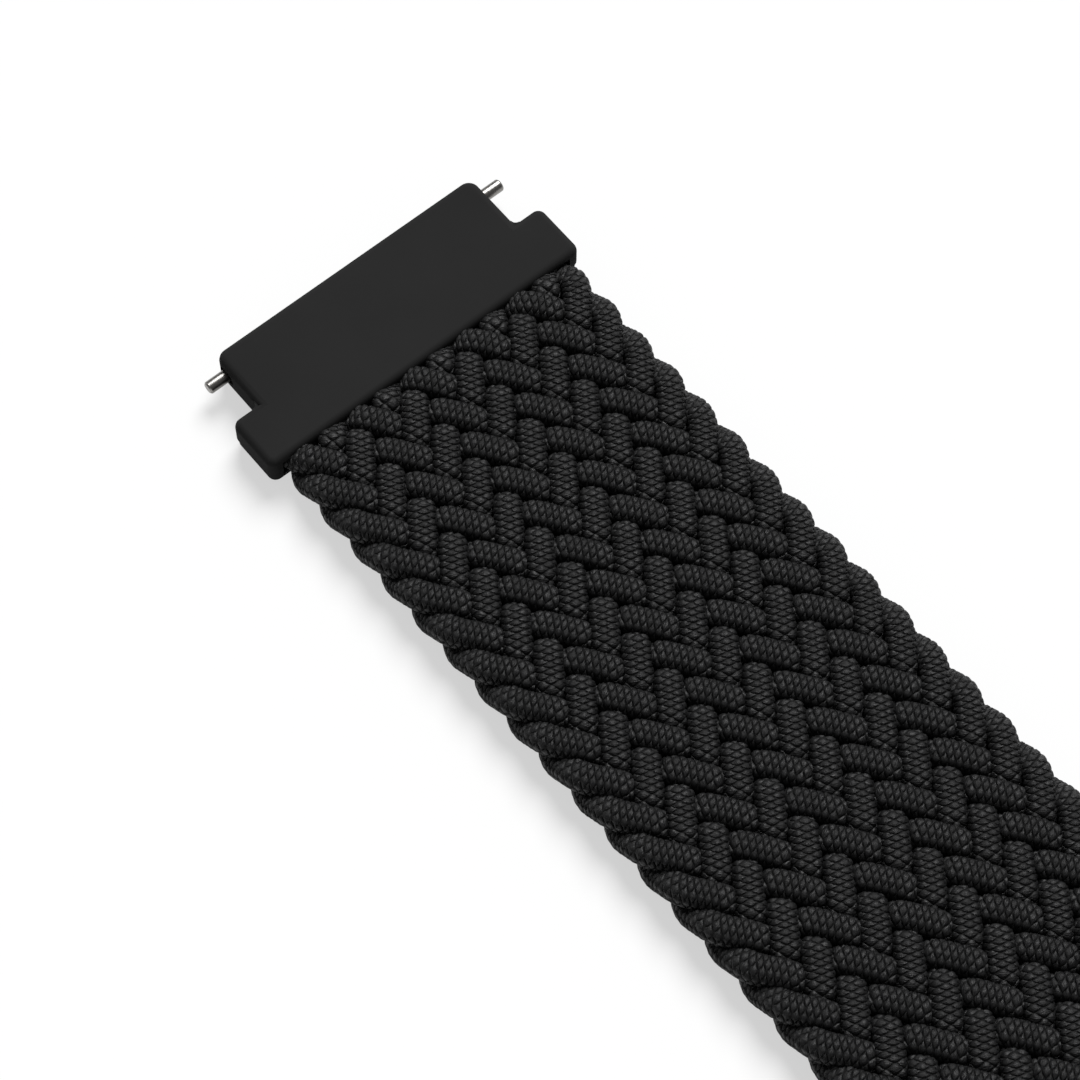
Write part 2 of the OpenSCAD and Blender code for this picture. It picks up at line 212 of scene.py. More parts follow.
class StrapConnectorSettings(bpy.types.PropertyGroup):
    """Colour and grain of the moulded connectors."""

    colour: colour_prop("Connector colour", "#292929", "Colour of the moulded shell and cover")
    grain: size_prop("Grain", 0.11 * MM, "Grain of the mould's spark-eroded texture")


class StrapBarSettings(bpy.types.PropertyGroup):
    """Sizes and colours of the quick-release bar and its spring."""

    wire: size_prop("Spring wire", 0.16 * MM, "Diameter of the return spring's wire")
    spring_radius: size_prop("Spring radius", 0.425 * MM, "Radius of the spring to the middle of its wire")
    spring_turns: bpy.props.IntProperty(
        name="Turns", description="Turns of the return spring", default=14, min=4
    )
    travel: size_prop("Travel", 1.7 * MM, "How far the sliding pin is pulled back")
    steel: colour_prop("Pin colour", "#8f8d8a", "Colour of the polished steel pins")
    wire_steel: colour_prop("Wire colour", "#9a9896", "Colour of the drawn spring wire")


class StrapStageSettings(bpy.types.PropertyGroup):
    """Camera, light and floor."""

    azimuth: bpy.props.FloatProperty(
        name="Azimuth", description="Camera's azimuth in degrees", default=50.649
    )
    elevation: bpy.props.FloatProperty(
        name="Elevation", description="Camera's elevation in degrees", default=64.099
    )
    distance: size_prop("Distance", 227.4 * MM, "From the camera to the point that it looks at")
    lens: bpy.props.FloatProperty(
        name="Lens", description="Focal length in millimetres on a 36 mm sensor", default=117.03
    )
    floor_colour: colour_prop("Floor colour", "#fdfdfd", "Colour of the floor")
    floor_glow: bpy.props.FloatProperty(
        name="Floor glow",
        description="Share of the floor's white that no shadow dims",
        default=0.6,
        min=0,
        max=1,
    )


def add_node(tree, kind, settings=None, inputs=None):
    """Adds a node with its settings, values and links, each input by its name or number.

    A node given to an input stands for its first output.
    """
    node = tree.nodes.new(kind)
    row, column = divmod(len(tree.nodes), NODES_IN_ROW)
    node.location = (NODE_SPACE[0] * column, -NODE_SPACE[1] * row)
    for name, value in (settings or {}).items():
        setattr(node, name, value)
    for key, value in (inputs or {}).items():
        if isinstance(value, bpy.types.Node):
            value = value.outputs[0]
        if isinstance(value, bpy.types.NodeSocket):
            tree.links.new(value, node.inputs[key])
        else:
            node.inputs[key].default_value = value
    return node


def new_material(name, **principled):
    """An empty material with one Principled BSDF, whose sockets are given by name with _ for spaces."""
    material = bpy.data.materials.new(name)
    material.use_nodes = True
    tree = material.node_tree
    tree.nodes.clear()
    values = {key.replace("_", " "): value for key, value in principled.items()}
    shader = add_node(tree, "ShaderNodeBsdfPrincipled", inputs=values)
    add_node(tree, "ShaderNodeOutputMaterial", inputs={"Surface": shader})
    return material, tree, shader


def braided_sheath(braid):
    """Black polyester sheath, braided over an elastic core: columns of stitches, with shade painted dark
    into the gaps between them.
    """
    material, tree, shader = new_material("braided_polyester_sheath", Specular_IOR_Level=0.4)
    uv = add_node(tree, "ShaderNodeUVMap", {"uv_map": "UVMap"})
    place = add_node(tree, "ShaderNodeSeparateXYZ", inputs={0: uv})

    # U runs once round the cord and V counts stitches along it, and every other column is half a stitch on
    column = add_node(
        tree, MATH, {"operation": "MULTIPLY"}, {0: place.outputs["X"], 1: float(braid.sheath_columns)}
    )
    whole = add_node(tree, MATH, {"operation": "FLOOR"}, {0: column})
    across = add_node(tree, MATH, {"operation": "SUBTRACT"}, {0: column, 1: whole})
    across = add_node(tree, MATH, {"operation": "SUBTRACT"}, {0: across, 1: 0.5})
    across = add_node(tree, MATH, {"operation": "ABSOLUTE"}, {0: across})
    odd = add_node(tree, MATH, {"operation": "MODULO"}, {0: whole, 1: 2.0})
    shifted = add_node(
        tree, MATH, {"operation": "MULTIPLY_ADD"}, {0: odd, 1: 0.5, 2: place.outputs["Y"]}
    )
    row = add_node(tree, MATH, {"operation": "FLOOR"}, {0: shifted})
    along = add_node(tree, MATH, {"operation": "SUBTRACT"}, {0: shifted, 1: row})
    along = add_node(tree, MATH, {"operation": "SUBTRACT"}, {0: along, 1: 0.5})
    along = add_node(tree, MATH, {"operation": "ABSOLUTE"}, {0: along})

    # A stitch is a lens as long as its cell, and the sides of the stitches beside it fill the cell's
    # corners. The room that they have is kept above zero, because it is divided by.
    lens = add_node(tree, MATH, {"operation": "MULTIPLY"}, {0: across, 1: math.pi})
    lens = add_node(tree, MATH, {"operation": "COSINE"}, {0: lens})
    lens = add_node(tree, MATH, {"operation": "MULTIPLY_ADD"}, {0: lens, 1: LENS_MIDDLE, 2: LENS_SIDE})
    own = add_node(tree, MATH, {"operation": "DIVIDE"}, {0: along, 1: lens})
    rest = add_node(tree, MATH, {"operation": "SUBTRACT"}, {0: 0.5, 1: lens})
    rest = add_node(tree, MATH, {"operation": "MAXIMUM"}, {0: rest, 1: 0.001})
    other = add_node(tree, MATH, {"operation": "SUBTRACT"}, {0: 0.5, 1: along})
    other = add_node(tree, MATH, {"operation": "DIVIDE"}, {0: other, 1: rest})
    # It is domed, and its sides sink away under the columns beside it
    domes = []
    for part, off in (
        (own, across),
        (other, add_node(tree, MATH, {"operation": "SUBTRACT"}, {0: 1.0, 1: across})),
    ):
        part = add_node(tree, MATH, {"operation": "POWER"}, {0: part, 1: DOME_ALONG})
        part = add_node(tree, MATH, {"operation": "SUBTRACT"}, {0: 1.0, 1: part})
        off = add_node(tree, MATH, {"operation": "POWER"}, {0: off, 1: DOME_ACROSS})
        off = add_node(tree, MATH, {"operation": "SUBTRACT"}, {0: 1.0, 1: off})
        domes.append(add_node(tree, MATH, {"operation": "MULTIPLY"}, {0: part, 1: off}))
    dome = add_node(tree, MATH, {"operation": "MAXIMUM"}, {0: domes[0], 1: domes[1]})
    # Painted shade: low on a stitch's dome, towards its border, the colour darkens to the gap colour, where
    # shade falls between the stitches
    thread = add_node(
        tree,
        "ShaderNodeMapRange",
        {"interpolation_type": "SMOOTHSTEP"},
        {"Value": dome, "From Min": 0.0, "From Max": SHADE_FREE_HEIGHT, "To Min": 0.0, "To Max": 1.0},
    )

    # Fine filaments lie across the cord in every stitch, and the stitches don't all catch the light alike
    finer = (FILAMENTS[0] * braid.sheath_columns, FILAMENTS[1], 1.0)
    fine = add_node(tree, VECTOR_MATH, {"operation": "MULTIPLY"}, {0: uv, 1: finer})
    filaments = add_node(
        tree,
        "ShaderNodeTexNoise",
        {"noise_dimensions": "2D"},
        {"Vector": fine, "Scale": 1.0, "Detail": 2.0},
    )
    coarse = add_node(
        tree, VECTOR_MATH, {"operation": "MULTIPLY"}, {0: uv, 1: (float(braid.sheath_columns), 1.0, 1.0)}
    )
    chance = add_node(
        tree,
        "ShaderNodeTexNoise",
        {"noise_dimensions": "2D"},
        {"Vector": coarse, "Scale": 1.1, "Detail": 1.0},
    )
    shade = add_node(
        tree,
        "ShaderNodeMapRange",
        inputs={"Value": chance, "From Min": 0.3, "From Max": 0.7, "To Min": 0.3},
    )
    shade = add_node(tree, MATH, {"operation": "MULTIPLY_ADD"}, {0: filaments, 1: FILAMENT_SHADE, 2: shade})
    # Share of the thread's own colour against the painted gap shade; a stitch's random shade darkens it
    # towards the gap colour too
    share = add_node(tree, MATH, {"operation": "MULTIPLY", "use_clamp": True}, {0: thread, 1: shade})
    colour = add_node(
        tree,
        "ShaderNodeMix",
        {"data_type": "RGBA"},
        {"Factor": share, "A": (*braid.painted_gap_shade, 1), "B": (*braid.colour, 1)},
    )
    tree.links.new(colour.outputs["Result"], shader.inputs["Base Color"])
    rough = add_node(tree, "ShaderNodeMapRange", inputs={"Value": share, "To Min": 0.9, "To Max": 0.5})
    tree.links.new(rough.outputs[0], shader.inputs["Roughness"])
    relief = add_node(tree, MATH, {"operation": "MULTIPLY_ADD"}, {0: filaments, 1: FILAMENT_BUMP, 2: dome})
    bump = add_node(
        tree,
        "ShaderNodeBump",
        inputs={"Strength": 1.0, "Distance": BUMP_DEPTH * braid.relief, "Height": relief},
    )
    tree.links.new(bump.outputs[0], shader.inputs["Normal"])
    return material


def moulded_shell(connector):
    """Glass-filled nylon, injection moulded in a spark-eroded mould: soft matte black with a fine grain."""
    material, tree, shader = new_material("moulded_matte_nylon", Specular_IOR_Level=0.02)
    place = add_node(tree, "ShaderNodeTexCoord")
    grain = add_node(
        tree,
        "ShaderNodeTexNoise",
        inputs={
            "Vector": place.outputs["Object"],
            "Scale": 1 / connector.grain,
            "Detail": 3.0,
            "Roughness": 0.6,
        },
    )
    cloud = add_node(
        tree,
        "ShaderNodeTexNoise",
        inputs={"Vector": place.outputs["Object"], "Scale": 1 / (6 * MM), "Detail": 2.0},
    )
    tint = add_node(tree, "ShaderNodeMapRange", inputs={"Value": cloud, "To Min": 0.9, "To Max": 1.1})
    colour = add_node(
        tree, VECTOR_MATH, {"operation": "SCALE"}, {0: tuple(connector.colour), "Scale": tint}
    )
    tree.links.new(colour.outputs[0], shader.inputs["Base Color"])
    rough = add_node(tree, "ShaderNodeMapRange", inputs={"Value": grain, "To Min": 0.6, "To Max": 0.8})
    tree.links.new(rough.outputs[0], shader.inputs["Roughness"])
    bump = add_node(
        tree, "ShaderNodeBump", inputs={"Strength": 0.25, "Distance": 0.01 * MM, "Height": grain}
    )
    tree.links.new(bump.outputs[0], shader.inputs["Normal"])
    return material


def turned_steel(name, colour, roughness, ring):
    """Stainless steel turned on a lathe and tumbled: bright, with faint rings round the bar's axis.

    The rings come out about six times `ring` apart, which is coarser than real tool marks but can be seen.
    """
    material, tree, shader = new_material(name, Base_Color=(*colour, 1), Metallic=1.0)
    place = add_node(tree, "ShaderNodeTexCoord")
    rings = add_node(
        tree,
        "ShaderNodeTexWave",
        {"wave_type": "BANDS", "bands_direction": "Y"},
        {
            "Vector": place.outputs["Object"],
            "Scale": 1 / (2 * math.pi * ring) / 3,
            "Distortion": 0.3,
            "Detail": 1.0,
        },
    )
    rough = add_node(
        tree,
        "ShaderNodeMapRange",
        inputs={"Value": rings.outputs[1], "To Min": roughness, "To Max": roughness + 0.04},
    )
    tree.links.new(rough.outputs[0], shader.inputs["Roughness"])
    bump = add_node(
        tree,
        "ShaderNodeBump",
        inputs={"Strength": 0.1, "Distance": 0.001 * MM, "Height": rings.outputs[1]},
    )
    tree.links.new(bump.outputs[0], shader.inputs["Normal"])
    return material


def fused_polyester():
    """Polyester cords melted together by a hot press: dark, smooth and slightly uneven."""
    material, tree, shader = new_material("fused_polyester", Roughness=0.45, Specular_IOR_Level=0.3)
    place = add_node(tree, "ShaderNodeTexCoord")
    lumps = add_node(
        tree,
        "ShaderNodeTexNoise",
        inputs={"Vector": place.outputs["Object"], "Scale": 1 / (0.8 * MM), "Detail": 3.0},
    )
    colour = add_node(
        tree,
        "ShaderNodeMix",
        {"data_type": "RGBA"},
        {"Factor": lumps, "A": linear("#101011"), "B": linear("#222223")},
    )
    tree.links.new(colour.outputs["Result"], shader.inputs["Base Color"])
    bump = add_node(
        tree, "ShaderNodeBump", inputs={"Strength": 0.4, "Distance": 0.03 * MM, "Height": lumps}
    )
    tree.links.new(bump.outputs[0], shader.inputs["Normal"])
    return material


def white_floor(stage):
    """White studio floor, lit through from below: it keeps only a part of the shadow that falls on it."""
    material, tree, shader = new_material(
        "white_studio_floor", Base_Color=(*stage.floor_colour, 1), Roughness=0.9, Specular_IOR_Level=0.0
    )
    ray = add_node(tree, "ShaderNodeLightPath")
    seen = add_node(
        tree,
        MATH,
        {"operation": "MAXIMUM"},
        {0: ray.outputs["Is Camera Ray"], 1: ray.outputs["Is Glossy Ray"]},
    )
    seen = add_node(
        tree, MATH, {"operation": "MAXIMUM"}, {0: seen, 1: ray.outputs["Is Transmission Ray"]}
    )
    share = add_node(tree, MATH, {"operation": "MULTIPLY"}, {0: seen, 1: stage.floor_glow})
    glow = add_node(
        tree, "ShaderNodeEmission", inputs={"Color": (*stage.floor_colour, 1), "Strength": 1.0}
    )
    mixed = add_node(tree, "ShaderNodeMixShader", inputs={0: share, 1: shader, 2: glow})
    tree.links.new(mixed.outputs[0], tree.nodes["Material Output"].inputs["Surface"])
    return material


def add_input(tree, kind, name, default=None):
    """Adds a named input to a node group and returns its socket's identifier."""
    item = tree.interface.new_socket(name=name, in_out="INPUT", socket_type=kind)
    if default is not None:
        item.default_value = default
    return item.identifier


def shape_tree(name, inputs):
    """A new geometry tree with its inputs: the tree, its group input node and the identifiers by name."""
    tree = bpy.data.node_groups.new(name, "GeometryNodeTree")
    tree.interface.new_socket(name="Geometry", in_out="OUTPUT", socket_type="NodeSocketGeometry")
    names = {label: add_input(tree, kind, label, default) for label, kind, default in inputs}
    return tree, add_node(tree, "NodeGroupInput"), names


def end_tree(tree, geometry, material):
    """Every tree ends in real geometry with its material."""
    real = add_node(tree, "GeometryNodeRealizeInstances", inputs={0: geometry})
    dressed = add_node(tree, "GeometryNodeSetMaterial", inputs={"Geometry": real, "Material": material})
    add_node(tree, "NodeGroupOutput", inputs={0: dressed})


def cord_tree():
    """Sweeps a sheathed cord along the edges of its input, whose points carry factors of the cord's size.

    Three lines of points run along each column of stitches, and four rings of points go to each stitch.
    """
    tree, given, names = shape_tree(
        "sheathed_cord",
        [
            ("Geometry", "NodeSocketGeometry", None),
            ("Half width", "NodeSocketFloat", 0.001),
            ("Half thickness", "NodeSocketFloat", 0.0008),
            ("Corner", "NodeSocketFloat", -0.17),
            ("Sheath columns", "NodeSocketInt", 10),
            ("Stitch", "NodeSocketFloat", 0.0004),
            ("Relief", "NodeSocketFloat", 0.00008),
            ("Material", "NodeSocketMaterial", None),
        ],
    )
    step = add_node(
        tree, MATH, {"operation": "MULTIPLY"}, {0: given.outputs["Stitch"], 1: 1 / RINGS_IN_STITCH}
    )
    path = add_node(tree, "GeometryNodeMeshToCurve", inputs={0: given.outputs["Geometry"]})
    path = add_node(
        tree, "GeometryNodeResampleCurve", {"mode": "LENGTH"}, {"Curve": path, "Length": step}
    )
    path = add_node(tree, "GeometryNodeSetCurveNormal", {"mode": "Z_UP"}, {"Curve": path})
    centre = add_node(tree, "GeometryNodeInputPosition")
    tangent = add_node(tree, "GeometryNodeInputTangent")
    side = add_node(tree, "GeometryNodeInputNormal")
    up = add_node(tree, VECTOR_MATH, {"operation": "CROSS_PRODUCT"}, {0: tangent, 1: side})
    index = add_node(tree, "GeometryNodeInputIndex")
    for label, kind, source in (
        ("centre", "FLOAT_VECTOR", centre),
        ("up", "FLOAT_VECTOR", up),
        ("side", "FLOAT_VECTOR", side),
        ("ring", "FLOAT", index),
    ):
        path = add_node(
            tree,
            "GeometryNodeStoreNamedAttribute",
            {"data_type": kind, "domain": "POINT"},
            {"Geometry": path, "Name": label, "Value": source},
        )

    # An open ring, so that the map of the surface has a clean seam before its ends are joined
    lines = add_node(
        tree,
        MATH,
        {"operation": "MULTIPLY"},
        {0: given.outputs["Sheath columns"], 1: float(LINES_IN_COLUMN)},
    )
    points = add_node(tree, MATH, {"operation": "ADD"}, {0: lines, 1: 1.0})
    section = add_node(
        tree,
        "GeometryNodeCurveArc",
        inputs={"Resolution": points, "Radius": 0.001, "Sweep Angle": 2 * math.pi},
    )
    section = add_node(
        tree,
        "GeometryNodeStoreNamedAttribute",
        {"data_type": "FLOAT", "domain": "POINT"},
        {"Geometry": section, "Name": "line", "Value": index},
    )
    tube = add_node(tree, "GeometryNodeCurveToMesh", inputs={"Curve": path, "Profile Curve": section})
    known = {
        label: add_node(tree, "GeometryNodeInputNamedAttribute", {"data_type": kind}, {"Name": label})
        for label, kind in (
            ("centre", "FLOAT_VECTOR"),
            ("up", "FLOAT_VECTOR"),
            ("side", "FLOAT_VECTOR"),
            ("ring", "FLOAT"),
            ("line", "FLOAT"),
            ("size", "FLOAT"),
            ("thin", "FLOAT"),
            ("broad", "FLOAT"),
            ("roll", "FLOAT"),
        )
    }

    # Every third line is the border of two columns, where the sides of their stitches meet the gaps between
    # them. The two lines inside a column go over its stitches and over the sunk tips between them.
    third = add_node(tree, MATH, {"operation": "MULTIPLY"}, {0: known["line"], 1: 1 / LINES_IN_COLUMN})
    third = add_node(tree, MATH, {"operation": "ADD"}, {0: third, 1: NUDGE})
    column = add_node(tree, MATH, {"operation": "FLOOR"}, {0: third})
    inside = add_node(tree, MATH, {"operation": "SUBTRACT"}, {0: third, 1: column})
    border = add_node(tree, MATH, {"operation": "LESS_THAN"}, {0: inside, 1: BORDER})
    turned = add_node(tree, MATH, {"operation": "MULTIPLY"}, {0: column, 1: math.pi})
    turned = add_node(
        tree, MATH, {"operation": "MULTIPLY_ADD"}, {0: known["ring"], 1: math.pi / 2, 2: turned}
    )
    swing = add_node(tree, MATH, {"operation": "COSINE"}, {0: turned})
    square = add_node(tree, MATH, {"operation": "MULTIPLY"}, {0: swing, 1: swing})
    # The swing is -1 at a stitch's middle, 0 half-way and 1 at its tip, and a parabola joins the three
    slope = (STITCH_TIP - STITCH_MIDDLE) / 2
    curve = (STITCH_TIP + STITCH_MIDDLE) / 2 - STITCH_SLOPE
    rise = STITCH_SIDE - STITCH_GAP
    middle = add_node(tree, MATH, {"operation": "MULTIPLY_ADD"}, {0: swing, 1: slope, 2: STITCH_SLOPE})
    middle = add_node(tree, MATH, {"operation": "MULTIPLY_ADD"}, {0: square, 1: curve, 2: middle})
    between = add_node(tree, MATH, {"operation": "MULTIPLY_ADD"}, {0: square, 1: rise, 2: STITCH_GAP})
    height = add_node(tree, "ShaderNodeMix", {"data_type": "FLOAT"}, {0: border, 2: middle, 3: between})
    relief = add_node(tree, MATH, {"operation": "MULTIPLY"}, {0: height, 1: given.outputs["Relief"]})

    # The cord's section is an oval pressed square by its neighbours, with the sheath's seam at its side
    turn = add_node(tree, MATH, {"operation": "DIVIDE"}, {0: known["line"], 1: lines})
    angle = add_node(
        tree, MATH, {"operation": "MULTIPLY_ADD"}, {0: turn, 1: 2 * math.pi, 2: known["roll"]}
    )
    high = add_node(
        tree, MATH, {"operation": "MULTIPLY"}, {0: given.outputs["Half thickness"], 1: known["broad"]}
    )
    high = add_node(tree, MATH, {"operation": "MULTIPLY_ADD"}, {0: high, 1: known["thin"], 2: relief})
    wide = add_node(
        tree,
        MATH,
        {"operation": "MULTIPLY_ADD"},
        {0: given.outputs["Half width"], 1: known["broad"], 2: relief},
    )
    # The fourth powers of the angle's sine and cosine, summed and taken to a small negative power, push the
    # corners of the section out
    corner = add_node(tree, MATH, {"operation": "MULTIPLY"}, {0: angle, 1: 4.0})
    corner = add_node(tree, MATH, {"operation": "COSINE"}, {0: corner})
    corner = add_node(tree, MATH, {"operation": "MULTIPLY_ADD"}, {0: corner, 1: 0.25, 2: 0.75})
    corner = add_node(tree, MATH, {"operation": "POWER"}, {0: corner, 1: given.outputs["Corner"]})
    corner = add_node(tree, MATH, {"operation": "MULTIPLY"}, {0: corner, 1: known["size"]})
    cosine = add_node(tree, MATH, {"operation": "COSINE"}, {0: angle})
    sine = add_node(tree, MATH, {"operation": "SINE"}, {0: angle})
    high = add_node(tree, MATH, {"operation": "MULTIPLY"}, {0: high, 1: sine})
    wide = add_node(tree, MATH, {"operation": "MULTIPLY"}, {0: wide, 1: cosine})
    high = add_node(tree, MATH, {"operation": "MULTIPLY"}, {0: high, 1: corner})
    wide = add_node(tree, MATH, {"operation": "MULTIPLY"}, {0: wide, 1: corner})
    spot = add_node(
        tree, VECTOR_MATH, {"operation": "MULTIPLY_ADD"}, {0: known["up"], 1: high, 2: known["centre"]}
    )
    spot = add_node(
        tree, VECTOR_MATH, {"operation": "MULTIPLY_ADD"}, {0: known["side"], 1: wide, 2: spot}
    )
    sheath = add_node(tree, "GeometryNodeSetPosition", inputs={"Geometry": tube, "Position": spot})
    stitches = add_node(tree, MATH, {"operation": "MULTIPLY"}, {0: known["ring"], 1: 1 / RINGS_IN_STITCH})
    flat = add_node(tree, "ShaderNodeCombineXYZ", inputs={"X": turn, "Y": stitches})
    sheath = add_node(
        tree,
        "GeometryNodeStoreNamedAttribute",
        {"data_type": "FLOAT2", "domain": "CORNER"},
        {"Geometry": sheath, "Name": "UVMap", "Value": flat},
    )
    for label in known:
        sheath = add_node(
            tree, "GeometryNodeRemoveAttribute", inputs={"Geometry": sheath, "Name": label}
        )
    sheath = add_node(tree, "GeometryNodeSetShadeSmooth", inputs={"Geometry": sheath})
    sheath = add_node(
        tree, "GeometryNodeMergeByDistance", inputs={"Geometry": sheath, "Distance": SEAM_GAP}
    )
    end_tree(tree, sheath, given.outputs["Material"])
    return tree, names


def spring_tree():
    """Winds a wire spring along +Z from the origin."""
    tree, given, names = shape_tree(
        "wound_spring",
        [
            ("Wire", "NodeSocketFloat", 0.00016),
            ("Radius", "NodeSocketFloat", 0.0004),
            ("Turns", "NodeSocketFloat", 14.0),
            ("Length", "NodeSocketFloat", 0.008),
            ("Material", "NodeSocketMaterial", None),
        ],
    )
    wire = add_node(tree, MATH, {"operation": "MULTIPLY"}, {0: given.outputs["Wire"], 1: 0.5})
    rise = add_node(
        tree, MATH, {"operation": "SUBTRACT"}, {0: given.outputs["Length"], 1: given.outputs["Wire"]}
    )
    helix = add_node(
        tree,
        "GeometryNodeCurveSpiral",
        inputs={
            "Resolution": TURN_POINTS,
            "Rotations": given.outputs["Turns"],
            "Start Radius": given.outputs["Radius"],
            "End Radius": given.outputs["Radius"],
            "Height": rise,
        },
    )
    ring = add_node(
        tree,
        "GeometryNodeCurvePrimitiveCircle",
        {"mode": "RADIUS"},
        {"Resolution": WIRE_SIDES, "Radius": wire},
    )
    swept = add_node(
        tree,
        "GeometryNodeCurveToMesh",
        inputs={"Curve": helix, "Profile Curve": ring, "Fill Caps": True},
    )
    lift = add_node(tree, "ShaderNodeCombineXYZ", inputs={"Z": wire})
    raised = add_node(tree, "GeometryNodeTransform", inputs={"Geometry": swept, "Translation": lift})
    smooth = add_node(tree, "GeometryNodeSetShadeSmooth", inputs={"Geometry": raised})
    end_tree(tree, smooth, given.outputs["Material"])
    return tree, names


def grown(name, base, tree, values):
    """Runs a geometry tree on a mesh and returns the result as a plain object with no modifier."""
    carrier = bpy.data.objects.new(name + "_carrier", base)
    bpy.context.scene.collection.objects.link(carrier)
    modifier = carrier.modifiers.new("shape", "NODES")
    modifier.node_group = tree
    for identifier, value in values.items():
        modifier[identifier] = value
    evaluated = carrier.evaluated_get(bpy.context.evaluated_depsgraph_get())
    mesh = bpy.data.meshes.new_from_object(evaluated)
    bpy.data.objects.remove(carrier)
    bpy.data.meshes.remove(base)
    mesh.name = name
    piece = bpy.data.objects.new(name, mesh)
    bpy.context.scene.collection.objects.link(piece)
    return piece


def dressed_copy(node, name, material, body):
    """A smooth-shaded piece with the shape of a CAD node, which it replaces."""
    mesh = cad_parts[node].data.copy()
    mesh.name = name
    shape = bmesh.new()
    shape.from_mesh(mesh)
    bmesh.ops.remove_doubles(shape, verts=shape.verts, dist=SAME_POINT)
    bmesh.ops.dissolve_degenerate(shape, edges=shape.edges, dist=NO_LENGTH)
    bmesh.ops.recalc_face_normals(shape, faces=shape.faces)
    for face in shape.faces:
        face.smooth = True
    for edge in shape.edges:
        edge.smooth = len(edge.link_faces) == 2 and edge.calc_face_angle(0) < CREASE
    shape.to_mesh(mesh)
    shape.free()
    mesh.materials.clear()
    mesh.materials.append(material)
    piece = bpy.data.objects.new(name, mesh)
    bpy.context.scene.collection.objects.link(piece)
    weights = piece.modifiers.new("even_flats", "WEIGHTED_NORMAL")
    weights.keep_sharp = True
    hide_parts(node)
    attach(piece, body)
    return piece


def smooth_step(t):
    """0 below 0, 1 above 1 and smooth between."""
    t = np.clip(t, 0, 1)
    return t * t * (3 - 2 * t)


def cord_path(braid, index):
    """Middle line of one cord from end to end of the braid: its points, and its section's factors at each.

    Crossings lie half a pitch apart along X and a row apart across. A cord runs straight from edge to edge,
    over two cords and under two, and turns round at each edge from the back of the braid to its front. The
    loops have some slack, so the outermost crossing lies a little further out than the row step.
    """
    rows = braid.cord_count - 1
    row_step = braid.width / (rows - 1 + 2 * braid.edge_rows)
    loops = math.floor((braid.visible_length - 2 * braid.lead_in) / braid.pitch + 0.5)
    half_pitch = (braid.visible_length - 2 * braid.lead_in) / (2 * loops)
    u = np.linspace(-1, 2 * loops + 1, (2 * loops + 2) * PATH_POINTS + 1)
    x = -braid.visible_length / 2 + braid.lead_in + u * half_pitch

    # Steps since the nearest turn, which is at every rows + 1 steps, by turns at -Y and at +Y
    cross = rows + 1
    steps = u - (2 * index + 1)
    turn = np.round(steps / cross)
    since = steps - cross * turn
    reach = np.cbrt(np.abs(since) ** 3 + TURN_ROUND**3)
    reach -= SLACK * np.exp(-(((np.abs(since) - 1) / SLACK_REACH) ** 2))
    row = np.where(turn % 2 == 0, reach - 1, rows - reach)
    y = (row - (rows - 1) / 2) * row_step

    # The way over and under takes a step longer where the cord turns
    near = np.clip(since, -TURN_EASE, TURN_EASE)
    bend = TURN_EASE / math.pi * np.sin(math.pi * near / TURN_EASE)
    lag = (near + TURN_EASE + bend) / (2 * TURN_EASE)
    phase = math.pi / 2 * (rows * turn + since - (lag - 0.5))
    wave = np.sin(phase)
    inner = smooth_step((np.abs(since) - LOOP_REACH) / LOOP_FADE)
    # Between two crossings on different sides it is squeezed by the cords that it passes
    pressed = inner * (1 - smooth_step(np.abs(wave) / PRESSED_BAND))
    wave *= math.sqrt(1 + FLAT_TOP**2) / np.sqrt(wave**2 + FLAT_TOP**2)

    # Inside the connectors the braid is squeezed to the height and width of the slot
    mouth = braid.visible_length / 2 - np.abs(x)
    swollen = smooth_step((mouth + SWELL_START) / braid.swell)
    thin = (SLOT_THIN + (1 - SLOT_THIN) * swollen) * (1 - PRESSED_THIN * pressed)
    broad = (1 + SLOT_BROAD * (1 - swollen)) * (1 - PRESSED_NARROW * pressed)
    flat = (braid.slot_thickness - SLOT_THIN * braid.cord_thickness) / 2 / braid.crest
    z = (BRAID_LOW.z + BRAID_HIGH.z) / 2 + braid.crest * (flat + (1 - flat) * swollen) * wave
    y *= 1 - SLOT_NARROW * (1 - smooth_step(mouth / NARROW_REACH))
    # Its two ends close to a point
    size = np.ones_like(x)
    size[[0, -1]] = 0
    # The sheath rolls a little one way and the other along the cord
    roll = 2 * math.pi * ROLL / braid.sheath_columns * np.sin(x / ROLL_LENGTH + ROLL_SHIFT * index)
    return np.column_stack([x, y, z]), {"thin": thin, "broad": broad, "size": size, "roll": roll}


def path_mesh(name, points, **values):
    """A mesh of edges through the points, with a float attribute for each set of values."""
    mesh = bpy.data.meshes.new(name)
    mesh.from_pydata(points.tolist(), [(i, i + 1) for i in range(len(points) - 1)], [])
    for label, data in values.items():
        attribute = mesh.attributes.new(label, "FLOAT", "POINT")
        attribute.data.foreach_set("value", np.asarray(data, np.float32))
    return mesh


class STRAP_OT_braid(bpy.types.Operator):
    """Braid the cords of the strap"""

    bl_idname = "strap.braid"
    bl_label = "Braid"

    def execute(self, context):
        braid = context.scene.strap_braid
        material = braided_sheath(braid)
        tree, names = cord_tree()
        for index in range(braid.cord_count):
            points, shape = cord_path(braid, index)
            values = {
                names["Half width"]: braid.cord_width / 2,
                names["Half thickness"]: braid.cord_thickness / 2,
                names["Corner"]: -braid.squareness,
                names["Sheath columns"]: braid.sheath_columns,
                names["Stitch"]: braid.stitch,
                names["Relief"]: braid.relief,
                names["Material"]: material,
            }
            cord = grown(f"cord_{index + 1:02d}", path_mesh("path", points, **shape), tree, values)
            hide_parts("braided_band")
            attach(cord, "strap")
        return {"FINISHED"}


